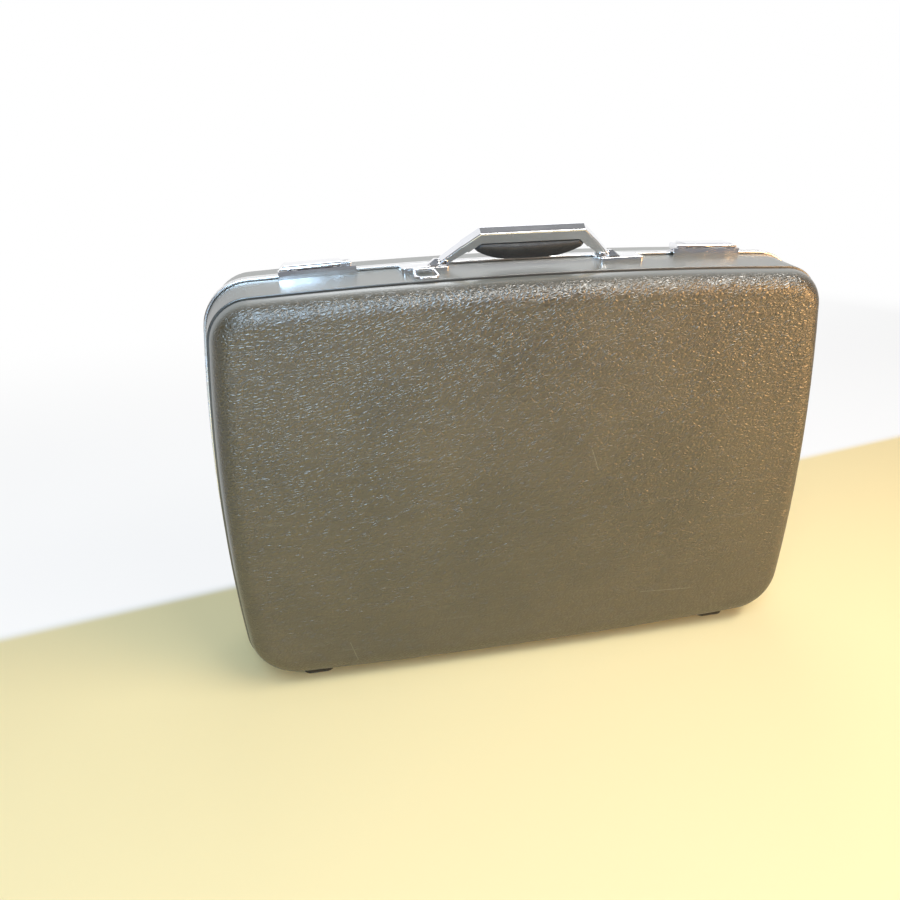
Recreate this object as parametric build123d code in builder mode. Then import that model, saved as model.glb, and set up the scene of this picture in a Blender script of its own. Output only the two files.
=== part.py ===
# Hard-shell suitcase, standing closed on its hinge side.
# X runs along the case, Y from the front face to the rear face, Z up. The origin lies on
# the ground under the middle of the case. Lengths are millimetres, angles degrees.
# The front half carries the handle and the latches, the rear half opens about the hinges.

import os
from math import asin, atan2, cos, radians, sin, sqrt, tan

from build123d import *

os.makedirs("parts", exist_ok=True)

# Overall case, measured on the closed outline at the seam
case_width = 660
case_height = 443
front_depth = 84
rear_depth = 92
side_bow = 13.5
top_bow = 9.5
bottom_bow = 8
top_corner_radius = 47.5
bottom_corner_radius = 61.5
ground_clearance = 6

# Moulded shells: a drafted smooth band, a groove line, then the domed face
shell_wall = 3
front_band_depth = 61
rear_band_depth = 69
front_band_draft = 5
rear_band_draft = 3
step_height = 2.2
groove_width = 2.6
groove_depth = 1.2
dome_edge_radius = 22
band_edge_radius = 1

# Metal frames that grip the shell edges and close with a tongue in a groove
seam_gap = 0.15
frame_web = 1.8
lip_width = 7
lip_proud = 2.4
lip_edge_radius = 1.2
lip_seam_chamfer = 0.4
lip_shell_gap = 0.1
inner_lip_inset = 4
inner_lip_wall = 1.4
inner_lip_depth = 9
channel_depth = 5.2
frame_inner_inset = 9.4
tongue_thickness = 1.5
tongue_inset = 6.5
tongue_reach = 3.4
tongue_outer_clearance = 0.3
tongue_inner_clearance = 0.6

# Fabric-covered lining trays
lining_wall = 1.4
lining_clearance = 0.4
lining_rim_depth = 5.6
lining_flange_inset = 6
lining_tray_inset = 12.4
lining_edge_radius = 18

# Feet on the hinge side
foot_end_distance = 85
foot_length = 34
foot_width = 16
foot_seam_distance = 45
foot_flare = 9
foot_edge_radius = 2.5
foot_rivet_radius = 1.6
foot_rivet_head_radius = 3.2
foot_rivet_head_height = 1.6
foot_rivet_recess = 2.4

# Hinges under the seam
hinge_end_distance = 140
hinge_length = 50
hinge_axis_height = 3.2
hinge_barrel_radius = 2.3
hinge_pin_radius = 1.1
hinge_leaf_wall = 1.4
hinge_leaf_width = 15
hinge_seat_height = 9.7
hinge_knuckles = 5
hinge_rivet_radius = 1.2
hinge_rivet_head_radius = 2.4
hinge_rivet_head_height = 0.9
hinge_rivet_spacing = 18
hinge_rivet_seam_distance = 10.5

# Handle, drawn in its own plane, which leans forward when the handle rests on its stops
handle_lean = 40
pivot_seam_distance = 25
foot_span = 86
bend_span = 52
bar_bottom = 27
bar_top = 41
arm_width = 11
channel_thickness = 10
channel_wall = 1.4
channel_edge_radius = 1.4
arm_split = 29
end_arm_foot_width = 7.5
end_arm_thickness = 8.6
end_tongue_length = 9
barrel_radius = 3.2
barrel_length = 8
handle_pin_radius = 1.6
grip_drop = 16.5
grip_flat_half = 24
grip_end_rise = 14.5
grip_reach = 34
grip_width = 19
grip_end_width = 9
grip_edge_radius = 4
grip_gap = 0.3
grip_neck_half = 46
grip_neck_height = 10

# Handle plates on the band
plate_length = 48
plate_inner_margin = 7
plate_depth = 25.5
plate_thickness = 8
plate_corner = 3
plate_edge_radius = 0.9
barrel_floor_gap = 0.4
ear_thickness = 3
ear_radius = 3.4
ear_side_gap = 0.3
ear_notch_height = 4.4
ear_ramp_length = 12

# Luggage tag ring, hinged on a clip at the left handle plate
ring_wire = 2.7
ring_foot_distance = 20
ring_bar_half = 9.5
ring_foot_half = 12
ring_length = 24
ring_top_corner = 3
ring_bottom_corner = 6.5
clip_length = 12
clip_wall = 1.2
clip_tab_length = 4
ring_band_gap = 0.4

# Latches, drawn in the plane square to the seam at the middle of each latch
latch_end_distance = 121
latch_outer_end = 35.5
hood_inner_end = 24.7
button_start = 25.2
button_length = 10
button_travel = 4
latch_slab = 1.5
latch_front = 14
latch_front_wall = 1.1
latch_front_height = 6.6
hood_pin_seam_distance = 9
hood_pin_height = 7.7
hood_pin_radius = 1
hood_rib_boss_radius = 3.3
hood_front_skirt = 0.5
hood_nose_radius = 3.6
hood_rear = 13
hood_crown = 0.6
hood_wall = 1.1
hood_rear_bottom = 4.3
hood_slope_length = 13
hood_end_height = 6.6
hood_rib_offset = 8
hood_rib = 1.6
ear_boss_radius = 2.1
ear_leg_angle = 57
latch_ear = 2.2
hook_pin_seam_distance = 2
hook_pin_height = 8
hook_pin_radius = 0.9
hook_boss_radius = 1.9
hook_width = 26
hook_wall = 1.5
hook_tip_height = 4.3
hook_lug = 2
keeper_length = 36
keeper_width = 12.2
keeper_ridge_distance = 7.7
keeper_ridge_width = 1.6
keeper_ridge_height = 6.4
hook_keeper_gap = 0.4
button_height = 10.6
button_rear = 8
button_corner = 2
rail_width = 3
rail_height = 1.3
rail_centre = 5.5
slide_gap = 0.2
lock_radius = 2.8
lock_depth = 4
lock_seam_distance = 2
keyway_length = 3.8
keyway_width = 1
keyway_depth = 1.5

# Packing straps in the front half and pocket in the rear half
strap_end_distance = 210
strap_width = 25
strap_wall = 1.6
strap_seam_distance = 14
strap_leg = 26
buckle_length = 34
buckle_height = 24
buckle_wall = 4
anchor_length = 12
anchor_wall = 1.2
pocket_side_margin = 80
pocket_height = 190
pocket_wall = 3
pocket_corner = 18
pocket_bottom_height = 50
pocket_band_height = 12
pocket_band_wall = 4.5

# Clearances used by every fit
running_gap = 0.06
seat_gap = 0.3
side_gap = 0.3

# Places along the case, measured from its ends or from the handle's feet
foot_x = case_width / 2 - foot_end_distance
hinge_x = case_width / 2 - hinge_end_distance
latch_x = case_width / 2 - latch_end_distance
strap_x = case_width / 2 - strap_end_distance
plate_inner_x = foot_span - plate_inner_margin
ring_x = foot_span + ring_foot_distance

seam_y = (front_depth - rear_depth) / 2
case_middle_height = ground_clearance + case_height / 2
corner_half_width = case_width / 2 - side_bow
corner_low = ground_clearance + bottom_bow
corner_high = ground_clearance + case_height - top_bow


def bow_radius(half_chord, bow):
    return (half_chord**2 + bow**2) / (2 * bow)


top_radius = bow_radius(corner_half_width, top_bow)
bottom_radius = bow_radius(corner_half_width, bottom_bow)
side_radius = bow_radius((corner_high - corner_low) / 2, side_bow)

front = {"side": -1, "depth": front_depth, "band": front_band_depth, "draft": front_band_draft}
rear = {"side": 1, "depth": rear_depth, "band": rear_band_depth, "draft": rear_band_draft}


def top_height(x):
    """Height of the closed outline above the ground at x."""
    return ground_clearance + case_height - top_radius + sqrt(top_radius**2 - x**2)


def bottom_height(x):
    """Height of the outline's underside above the ground at x."""
    return ground_clearance + bottom_radius - sqrt(bottom_radius**2 - x**2)


def inset_outline(inset):
    """Outline of the case drawn inwards: four bowed sides and four round corners."""
    middle = (corner_low + corner_high) / 2
    with BuildSketch(mode=Mode.PRIVATE) as outline:
        with Locations((0, ground_clearance + case_height - top_radius)):
            Circle(top_radius - inset)
        with Locations((0, ground_clearance + bottom_radius)):
            Circle(bottom_radius - inset, mode=Mode.INTERSECT)
        with Locations((case_width / 2 - side_radius, middle)):
            Circle(side_radius - inset, mode=Mode.INTERSECT)
        with Locations((side_radius - case_width / 2, middle)):
            Circle(side_radius - inset, mode=Mode.INTERSECT)
        fillet(outline.vertices().group_by(Axis.Y)[-1], top_corner_radius - inset)
        fillet(outline.vertices().group_by(Axis.Y)[0], bottom_corner_radius - inset)
    return outline.sketch


def seam_plane(side, distance):
    """Plane parallel to the seam and distance away from it, facing away from the seam."""
    return Plane(
        origin=(0, seam_y + side * distance, 0), x_dir=(-side, 0, 0), z_dir=(0, side, 0)
    )


def band_inset(half, distance):
    """How far the drafted band lies inside the outline at a distance from the seam."""
    return half["draft"] * distance / half["band"]


def drafted_block(half, near, near_inset, far, far_inset):
    """Solid between two insets of the outline, drafted evenly."""
    with BuildSketch(seam_plane(half["side"], near)) as near_profile:
        add(inset_outline(near_inset))
    with BuildSketch(seam_plane(half["side"], far)) as far_profile:
        add(inset_outline(far_inset))
    return loft([near_profile.sketch, far_profile.sketch], ruled=True, mode=Mode.PRIVATE)


def cut_block(half, near, far, inset):
    """Clears the space inside one inset of the outline."""
    with BuildSketch(seam_plane(half["side"], near)) as profile:
        add(inset_outline(inset))
    extrude(profile.sketch, amount=far - near, mode=Mode.SUBTRACT)


def ring_block(half, near, far, outer_inset, inner_inset, mode=Mode.ADD):
    """Closed ring between two insets of the outline."""
    with BuildSketch(seam_plane(half["side"], near)) as ring:
        add(inset_outline(outer_inset))
        add(inset_outline(inner_inset), mode=Mode.SUBTRACT)
    extrude(ring.sketch, amount=far - near, mode=mode)


def band_form(half):
    """Solid form of the drafted band, up to the step."""
    with BuildPart() as form:
        add(drafted_block(half, 0, 0, half["band"], half["draft"]))
        far_face = form.faces().sort_by(Axis.Y)[0 if half["side"] < 0 else -1]
        fillet(far_face.edges(), band_edge_radius)
    return form.part


def rounded_form(half, near, inset, reach, edge_radius):
    """Solid form inside one inset of the outline, from near to a flat end with a round edge."""
    with BuildPart() as form:
        with BuildSketch(seam_plane(half["side"], near)):
            add(inset_outline(inset))
        extrude(amount=reach - near)
        end_face = form.faces().sort_by(Axis.Y)[0 if half["side"] < 0 else -1]
        fillet(end_face.edges(), edge_radius)
    return form.part


front_band = band_form(front)
rear_band = band_form(rear)
bands = {-1: front_band, 1: rear_band}


def hinge_seat(half):
    """Cuts the flats that the hinge leaves sit in, under the part in work."""
    middle = seam_y + half["side"] * hinge_leaf_width / 2
    for x in (-hinge_x, hinge_x):
        with Locations((x, middle, hinge_seat_height / 2)):
            Box(
                hinge_length + 2 * side_gap,
                hinge_leaf_width + 2 * side_gap,
                hinge_seat_height,
                mode=Mode.SUBTRACT,
            )


def hinge_rivet_places(half):
    """Points under the hinge leaves where the rivets stand."""
    y = seam_y + half["side"] * hinge_rivet_seam_distance
    steps = (-hinge_rivet_spacing, 0, hinge_rivet_spacing)
    return [(x + step, y) for x in (-hinge_x, hinge_x) for step in steps]


def hinge_rivet_holes(half):
    with BuildSketch(Plane.XY) as holes:
        with Locations(*hinge_rivet_places(half)):
            Circle(hinge_rivet_radius)
    extrude(holes.sketch, amount=hinge_seat_height + shell_wall * 4, mode=Mode.SUBTRACT)


def foot_places(half):
    y = seam_y + half["side"] * foot_seam_distance
    return [(-foot_x, y), (foot_x, y)]


def foot_rivet_holes(half):
    with BuildSketch(Plane.XY) as holes:
        with Locations(*foot_places(half)):
            Circle(foot_rivet_radius)
    extrude(holes.sketch, amount=case_height / 4, mode=Mode.SUBTRACT)


def shell(half):
    """Moulded shell: band, step, groove and round-edged dome, hollowed to an even wall."""
    rim = half["draft"] + step_height
    outer_dome = rounded_form(half, half["band"] / 3, rim, half["depth"], dome_edge_radius)
    inner_dome = rounded_form(
        half,
        half["band"] / 3,
        rim + groove_depth + shell_wall,
        half["depth"] - shell_wall,
        dome_edge_radius - shell_wall,
    )
    cavity_end = half["band"] - shell_wall
    cavity_inset = shell_wall + band_inset(half, cavity_end)
    band_cavity = drafted_block(half, 0, shell_wall, cavity_end, cavity_inset)
    with BuildPart() as part:
        add(bands[half["side"]])
        add(outer_dome)
        ring_block(
            half, half["band"], half["band"] + groove_width, 0, rim + groove_depth, Mode.SUBTRACT
        )
        add(band_cavity, mode=Mode.SUBTRACT)
        add(inner_dome, mode=Mode.SUBTRACT)
        cut_block(half, -1, frame_web, -1)
        hinge_seat(half)
        hinge_rivet_holes(half)
        foot_rivet_holes(half)
    return part


def frame(half, has_tongue):
    """Extruded frame: outer lip, web, inner lip, and the groove or the tongue."""
    with BuildPart() as part:
        with BuildSketch(seam_plane(half["side"], seam_gap)):
            add(inset_outline(-lip_proud))
        extrude(amount=lip_width - seam_gap)
        ends = part.faces().filter_by(Axis.Y).sort_by(Axis.Y)
        seam_end, outer_end = (ends[-1], ends[0]) if half["side"] < 0 else (ends[0], ends[-1])
        seam_edges = seam_end.edges()
        fillet(outer_end.edges(), lip_edge_radius)
        chamfer(seam_edges, lip_seam_chamfer)
        cut_block(half, frame_web, lip_width + 1, -lip_shell_gap)
        cut_block(half, 0, lip_width, frame_inner_inset)
        ring_block(half, frame_web, channel_depth, inner_lip_inset, frame_inner_inset)
        ring_block(
            half, channel_depth, inner_lip_depth, inner_lip_inset, inner_lip_inset + inner_lip_wall
        )
        if has_tongue:
            ring_block(half, -tongue_reach, frame_web, tongue_inset, tongue_inset + tongue_thickness)
        else:
            ring_block(
                half,
                0,
                tongue_reach + side_gap,
                tongue_inset - tongue_outer_clearance,
                tongue_inset + tongue_thickness + tongue_inner_clearance,
                Mode.SUBTRACT,
            )
        hinge_seat(half)
        hinge_rivet_holes(half)
    return part


def lining(half):
    """Fabric-covered tray that lines the shell, its flange tucked behind the frame."""
    floor = half["depth"] - shell_wall - lining_clearance
    outer_tray = rounded_form(half, lining_rim_depth, lining_tray_inset, floor, lining_edge_radius)
    inner_tray = rounded_form(
        half,
        lining_rim_depth - lining_wall,
        lining_tray_inset + lining_wall,
        floor - lining_wall,
        lining_edge_radius - lining_wall,
    )
    with BuildPart() as part:
        add(outer_tray)
        ring_block(
            half,
            lining_rim_depth,
            lining_rim_depth + lining_wall,
            lining_flange_inset,
            lining_tray_inset + lining_wall / 2,
        )
        add(inner_tray, mode=Mode.SUBTRACT)
    return part


def write(name, part):
    part.part.label = name
    export_step(part.part, f"parts/{name}.step")


def write_mirrored(name, part):
    """Writes the piece on the other side of the middle of the case."""
    with BuildPart() as other:
        mirror(part.part, about=Plane.YZ)
    write(name, other)


# Shells, frames and linings
write("front_shell", shell(front))
write("rear_shell", shell(rear))
write("front_frame", frame(front, has_tongue=False))
write("rear_frame", frame(rear, has_tongue=True))
front_lining = lining(front)
write("front_lining", front_lining)
write("rear_lining", lining(rear))


# Feet, flared up to the band and riveted through the shell
def foot(half):
    x, y = foot_places(half)[0]
    with BuildPart() as part:
        with BuildSketch(Plane.XY):
            with Locations((x, y)):
                SlotOverall(foot_length, foot_width)
        extrude(amount=ground_clearance + bottom_bow + front_band_draft, taper=-foot_flare)
        fillet(part.faces().sort_by(Axis.Z)[0].edges(), foot_edge_radius)
        add(bands[half["side"]], mode=Mode.SUBTRACT)
        with BuildSketch(Plane.XY):
            with Locations((x, y)):
                Circle(foot_rivet_radius)
        extrude(amount=case_height / 4, mode=Mode.SUBTRACT)
        with BuildSketch(Plane.XY):
            with Locations((x, y)):
                Circle(foot_rivet_head_radius + side_gap)
        extrude(amount=foot_rivet_recess, mode=Mode.SUBTRACT)
    return part


def foot_rivets(half):
    """Flat-head rivets from the foot's recess to a head on the shell's inside."""
    inside = bottom_height(foot_x) + band_inset(half, foot_seam_distance) + shell_wall
    head_base = foot_rivet_recess - foot_rivet_head_height
    with BuildPart() as part:
        with BuildSketch(Plane.XY.offset(head_base)):
            with Locations(*foot_places(half)):
                Circle(foot_rivet_head_radius)
        extrude(amount=foot_rivet_head_height)
        with BuildSketch(Plane.XY.offset(head_base)):
            with Locations(*foot_places(half)):
                Circle(foot_rivet_radius)
        extrude(amount=inside + seat_gap * 2 + foot_rivet_head_height - head_base)
        with BuildSketch(Plane.XY.offset(inside + seat_gap * 2)):
            with Locations(*foot_places(half)):
                Circle(foot_rivet_head_radius)
        extrude(amount=foot_rivet_head_height)
    return part


for half, name in ((front, "front"), (rear, "rear")):
    left_foot = foot(half)
    write(f"foot_{name}_left", left_foot)
    write_mirrored(f"foot_{name}_right", left_foot)
    write(f"foot_rivets_{name}", foot_rivets(half))


# Hinges: leaves on flats across the seam, with interleaved knuckles on one pin each
knuckle_pitch = hinge_length / hinge_knuckles


def hinge_leaf(half, knuckles):
    """Left hinge leaf of one half, with the knuckles of the given numbers."""
    side = half["side"]
    start = -hinge_x - hinge_length / 2
    bore = hinge_pin_radius + (running_gap if side > 0 else 0)
    with BuildPart() as part:
        with BuildSketch(Plane.YZ.offset(start)):
            with Locations((seam_y + side * (side_gap + hinge_leaf_width) / 2, 0)):
                Rectangle(
                    hinge_leaf_width - side_gap,
                    hinge_seat_height,
                    align=(Align.CENTER, Align.MIN),
                )
            with Locations((seam_y + side * (side_gap + hinge_leaf_width) / 2, 0)):
                Rectangle(
                    hinge_leaf_width,
                    hinge_seat_height - hinge_leaf_wall,
                    align=(Align.CENTER, Align.MIN),
                    mode=Mode.SUBTRACT,
                )
        extrude(amount=hinge_length)
        for number in knuckles:
            knuckle_start = start + number * knuckle_pitch + side_gap / 2
            with BuildSketch(Plane.YZ.offset(knuckle_start)):
                with Locations((seam_y, hinge_axis_height)):
                    Circle(hinge_barrel_radius)
                with Locations((seam_y + side * (side_gap / 2 + hinge_leaf_wall / 2), 0)):
                    with Locations((0, hinge_axis_height)):
                        Rectangle(
                            hinge_leaf_wall,
                            hinge_seat_height - hinge_axis_height,
                            align=(Align.CENTER, Align.MIN),
                        )
                with Locations((seam_y, hinge_axis_height)):
                    Circle(bore, mode=Mode.SUBTRACT)
            extrude(amount=knuckle_pitch - side_gap)
        with BuildSketch(Plane.XY):
            with Locations(*hinge_rivet_places(half)):
                Circle(hinge_rivet_radius)
        extrude(amount=hinge_seat_height, mode=Mode.SUBTRACT)
    return part


def hinge_rivets(half):
    """Round-head rivets through leaf, shell and inner lip of both hinges."""
    leaf_bottom = hinge_seat_height - hinge_leaf_wall
    outline_height = bottom_height(hinge_x) + band_inset(half, hinge_rivet_seam_distance)
    top = outline_height + shell_wall + seat_gap * 2
    with BuildPart() as part:
        with BuildSketch(Plane.XY.offset(leaf_bottom - hinge_rivet_head_height)):
            with Locations(*hinge_rivet_places(half)):
                Circle(hinge_rivet_head_radius)
        extrude(amount=hinge_rivet_head_height)
        with BuildSketch(Plane.XY.offset(leaf_bottom - hinge_rivet_head_height)):
            with Locations(*hinge_rivet_places(half)):
                Circle(hinge_rivet_radius)
        extrude(amount=top - leaf_bottom + hinge_rivet_head_height)
    return part


front_leaf = hinge_leaf(front, range(0, hinge_knuckles, 2))
rear_leaf = hinge_leaf(rear, range(1, hinge_knuckles, 2))
write("hinge_leaf_front_left", front_leaf)
write_mirrored("hinge_leaf_front_right", front_leaf)
write("hinge_leaf_rear_left", rear_leaf)
write_mirrored("hinge_leaf_rear_right", rear_leaf)
write("hinge_rivets_front", hinge_rivets(front))
write("hinge_rivets_rear", hinge_rivets(rear))

with BuildPart() as hinge_pin:
    with BuildSketch(Plane.YZ.offset(-hinge_x - hinge_length / 2)):
        with Locations((seam_y, hinge_axis_height)):
            Circle(hinge_pin_radius)
    extrude(amount=hinge_length)
write("hinge_pin_left", hinge_pin)
write_mirrored("hinge_pin_right", hinge_pin)


# Handle plates, seated on the band beside the frame's lip
pivot_y = seam_y - pivot_seam_distance
plate_top = top_height(plate_inner_x + plate_length / 2) + lip_proud
pivot_height = plate_top + barrel_floor_gap + barrel_radius
plate_middle_y = seam_y - lip_width - side_gap - plate_depth / 2
ear_inner_x = foot_span - barrel_length / 2 - ear_side_gap - ear_thickness
ear_outer_x = foot_span + barrel_length / 2 + ear_side_gap

with BuildPart() as handle_plate:
    with BuildSketch(Plane.XY.offset(plate_top)):
        with Locations((-plate_inner_x - plate_length / 2, plate_middle_y)):
            RectangleRounded(plate_length, plate_depth, plate_corner)
    extrude(amount=-plate_thickness)
    fillet(handle_plate.faces().sort_by(Axis.Z)[-1].edges(), plate_edge_radius)
    add(front_band, mode=Mode.SUBTRACT)
    with BuildSketch(Plane.YZ.offset(-ear_inner_x)):
        with Locations((pivot_y, pivot_height)):
            Circle(ear_radius)
            Rectangle(
                2 * ear_radius, pivot_height - plate_top + 1, align=(Align.CENTER, Align.MAX)
            )
    extrude(amount=-ear_thickness)
    with BuildSketch(Plane.XZ.offset(-pivot_y)):
        with BuildLine():
            Polyline(
                (-ear_outer_x, plate_top - 1),
                (-ear_outer_x, pivot_height + ear_radius),
                (-ear_outer_x - ear_thickness, pivot_height + ear_radius),
                (-ear_outer_x - ear_ramp_length, plate_top),
                (-ear_outer_x - ear_ramp_length, plate_top - 1),
                close=True,
            )
        make_face()
    extrude(amount=ear_radius, both=True)
    with BuildSketch(Plane.YZ.offset(-ear_outer_x - ear_thickness)):
        with Locations((pivot_y, pivot_height)):
            Circle(handle_pin_radius)
    extrude(amount=ear_outer_x + ear_thickness, mode=Mode.SUBTRACT)
write("handle_plate_left", handle_plate)
write_mirrored("handle_plate_right", handle_plate)

with BuildPart() as handle_pin:
    with BuildSketch(Plane.YZ.offset(-ear_outer_x - ear_thickness)):
        with Locations((pivot_y, pivot_height)):
            Circle(handle_pin_radius)
    extrude(amount=ear_outer_x - ear_inner_x + 2 * ear_thickness)
write("handle_pin_left", handle_pin)
write_mirrored("handle_pin_right", handle_pin)


# Handle, in the plane through its pivots that leans forward
lean = radians(handle_lean)
handle_plane = Plane(
    origin=(0, pivot_y, pivot_height), x_dir=(1, 0, 0), z_dir=(0, -cos(lean), -sin(lean))
)
bar_centre = (bar_bottom + bar_top) / 2
arm_run = foot_span - bend_span
arm_full = sqrt(arm_run**2 + bar_centre**2)


def arm_point(along, across):
    """Point on the left arm: along it from the pivot, across it away from the middle."""
    across_x, across_y = -bar_centre / arm_full, arm_run / arm_full
    return (
        -foot_span + along * arm_run / arm_full + across * across_x,
        along * bar_centre / arm_full + across * across_y,
    )


def arm_corner(height, across):
    """Where a line across from the left arm's middle meets a height of the bar."""
    along = (height - across * arm_run / arm_full) * arm_full / bar_centre
    return arm_point(along, across)


def bar_profile(skin, open_bottom):
    """Side view of the channel, inside its skin. The inner edge is left open for hollows."""
    half_arm = arm_width / 2
    outer = half_arm - skin
    inner = -half_arm - (half_arm if open_bottom else 0)
    low = bar_bottom - (bar_bottom / 2 if open_bottom else 0)
    left = [
        arm_corner(low, inner),
        arm_point(arm_split - (1 if open_bottom else 0), inner),
        arm_point(arm_split - (1 if open_bottom else 0), outer),
        arm_corner(bar_top - skin, outer),
    ]
    right = [(-x, y) for x, y in reversed(left)]
    with BuildLine() as side:
        Polyline(*left, *right, close=True)
    make_face(side.edges())


with BuildPart() as handle_channel:
    with BuildSketch(handle_plane):
        bar_profile(0, open_bottom=False)
    extrude(amount=channel_thickness / 2, both=True)
    rims = [
        edge
        for edge in handle_channel.edges()
        if edge.length > arm_width * 1.5 and edge.center().Z > pivot_height
    ]
    fillet(rims, channel_edge_radius)
    with BuildSketch(handle_plane):
        bar_profile(channel_wall, open_bottom=True)
    extrude(amount=channel_thickness / 2 - channel_wall, both=True, mode=Mode.SUBTRACT)
write("handle_channel", handle_channel)

end_half = end_arm_foot_width / 2
tongue_half = arm_width / 2 - channel_wall - side_gap
with BuildPart() as end_arm:
    with BuildSketch(handle_plane):
        with BuildLine():
            Polyline(
                arm_point(0, end_half),
                arm_point(arm_split, arm_width / 2),
                arm_point(arm_split, -arm_width / 2),
                arm_point(0, -end_half),
                close=True,
            )
        make_face()
    extrude(amount=end_arm_thickness / 2, both=True)
    fillet(end_arm.edges().sort_by(SortBy.LENGTH)[-4:], channel_edge_radius)
    with BuildSketch(handle_plane):
        with BuildLine():
            Polyline(
                arm_point(arm_split - 2, tongue_half),
                arm_point(arm_split + end_tongue_length, tongue_half),
                arm_point(arm_split + end_tongue_length, -tongue_half),
                arm_point(arm_split - 2, -tongue_half),
                close=True,
            )
        make_face()
    extrude(amount=channel_thickness / 2 - channel_wall - side_gap, both=True)
    with BuildSketch(handle_plane):
        with Locations((barrel_length / 2 - foot_span, ear_notch_height)):
            Rectangle(
                ear_thickness + 2 * ear_side_gap,
                4 * ear_notch_height,
                align=(Align.MIN, Align.MAX),
            )
        with Locations((-foot_span, 0)):
            Rectangle(3 * barrel_length, ear_notch_height, align=(Align.CENTER, Align.MAX))
    extrude(amount=arm_width, both=True, mode=Mode.SUBTRACT)
    with BuildSketch(Plane.YZ.offset(-foot_span - barrel_length)):
        with Locations((pivot_y, pivot_height)):
            Rectangle(4 * barrel_radius, 4 * barrel_radius)
            Circle(barrel_radius, mode=Mode.SUBTRACT)
    extrude(amount=barrel_length / 2, mode=Mode.SUBTRACT)
    with BuildSketch(Plane.YZ.offset(-foot_span - barrel_length / 2)):
        with Locations((pivot_y, pivot_height)):
            Circle(barrel_radius)
    extrude(amount=barrel_length)
    with BuildSketch(Plane.YZ.offset(-foot_span - 2 * barrel_length)):
        with Locations((pivot_y, pivot_height)):
            Circle(handle_pin_radius + running_gap)
    extrude(amount=4 * barrel_length, mode=Mode.SUBTRACT)
write("handle_end_left", end_arm)
write_mirrored("handle_end_right", end_arm)

# Padded grip under the channel, its ends cut back from the arms
grip_top = bar_bottom - grip_gap
grip_bottom = bar_bottom - grip_drop
with BuildPart() as grip_side:
    with BuildSketch(handle_plane):
        with BuildLine():
            Line((-grip_flat_half, grip_bottom), (grip_flat_half, grip_bottom))
            rise = TangentArc(
                (grip_flat_half, grip_bottom),
                (grip_flat_half + grip_reach, grip_bottom + grip_end_rise),
                tangent=(1, 0),
            )
            Line(rise @ 1, (grip_flat_half + grip_reach, grip_top))
            Line((grip_flat_half + grip_reach, grip_top), (-grip_flat_half - grip_reach, grip_top))
            fall = TangentArc(
                (-grip_flat_half, grip_bottom),
                (-grip_flat_half - grip_reach, grip_bottom + grip_end_rise),
                tangent=(-1, 0),
            )
            Line(fall @ 1, (-grip_flat_half - grip_reach, grip_top))
        make_face()
        clear = -arm_width / 2 - grip_gap
        with BuildLine():
            Polyline(
                arm_corner(0, clear),
                arm_corner(bar_top, clear),
                (-arm_corner(bar_top, clear)[0], bar_top),
                (-arm_corner(0, clear)[0], 0),
                close=True,
            )
        make_face(mode=Mode.INTERSECT)
    extrude(amount=grip_width, both=True)

with BuildPart() as grip:
    with BuildSketch(
        Plane(origin=handle_plane.from_local_coords((0, grip_top, 0)), x_dir=(1, 0, 0),
              z_dir=handle_plane.y_dir)
    ):
        with BuildLine():
            ThreePointArc(
                (-foot_span, -grip_end_width / 2), (0, -grip_width / 2), (foot_span, -grip_end_width / 2)
            )
            ThreePointArc(
                (-foot_span, grip_end_width / 2), (0, grip_width / 2), (foot_span, grip_end_width / 2)
            )
            Line((-foot_span, -grip_end_width / 2), (-foot_span, grip_end_width / 2))
            Line((foot_span, -grip_end_width / 2), (foot_span, grip_end_width / 2))
        make_face()
    extrude(amount=-bar_bottom)
    add(grip_side.part, mode=Mode.INTERSECT)
    under_edges = [
        edge
        for edge in grip.edges()
        if handle_plane.to_local_coords(edge.center()).Y < grip_top - 1 and edge.length > grip_width
    ]
    fillet(under_edges, grip_edge_radius)
    with BuildSketch(handle_plane):
        with Locations((0, grip_top)):
            Rectangle(2 * grip_neck_half, grip_neck_height, align=(Align.CENTER, Align.MIN))
    extrude(amount=channel_thickness / 2 - channel_wall - grip_gap, both=True)
write("handle_grip", grip)


# Tag ring, lying on the band in front of the left handle plate
clip_radius = ring_wire / 2 + running_gap + clip_wall
clip_y = plate_middle_y - plate_depth / 2 - clip_radius
clip_height = plate_top + clip_wall - clip_radius
ring_end_distance = seam_y - clip_y + ring_length
ring_end_height = (
    top_height(ring_x) - band_inset(front, ring_end_distance) + ring_wire / 2 + ring_band_gap
)
ring_drop = atan2(clip_height - ring_end_height, ring_length)

with BuildPart() as tag_ring_clip:
    with BuildSketch(Plane.YZ.offset(-ring_x - clip_length / 2)):
        with Locations((clip_y, clip_height)):
            Circle(clip_radius)
        with Locations((clip_y, plate_top)):
            Rectangle(
                clip_radius + clip_tab_length, clip_wall, align=(Align.MIN, Align.MIN)
            )
        with Locations((clip_y, clip_height)):
            Circle(ring_wire / 2 + running_gap, mode=Mode.SUBTRACT)
    extrude(amount=clip_length)
write("tag_ring_clip", tag_ring_clip)

ring_plane = Plane(
    origin=(-ring_x, clip_y, clip_height),
    x_dir=(1, 0, 0),
    z_dir=(0, -sin(ring_drop), cos(ring_drop)),
)
with BuildSketch(ring_plane) as ring_shape:
    with BuildLine():
        Polyline(
            (-ring_bar_half, 0),
            (ring_bar_half, 0),
            (ring_foot_half, -ring_length),
            (-ring_foot_half, -ring_length),
            close=True,
        )
    make_face()
    fillet(ring_shape.vertices().group_by(Axis.Y)[-1], ring_top_corner)
    fillet(ring_shape.vertices().group_by(Axis.Y)[0], ring_bottom_corner)
ring_path = ring_shape.sketch.faces()[0].outer_wire()
with BuildPart() as tag_ring:
    with BuildSketch(Plane(origin=ring_path @ 0, z_dir=ring_path % 0)):
        Circle(ring_wire / 2)
    sweep(path=ring_path)
write("tag_ring", tag_ring)


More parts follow.
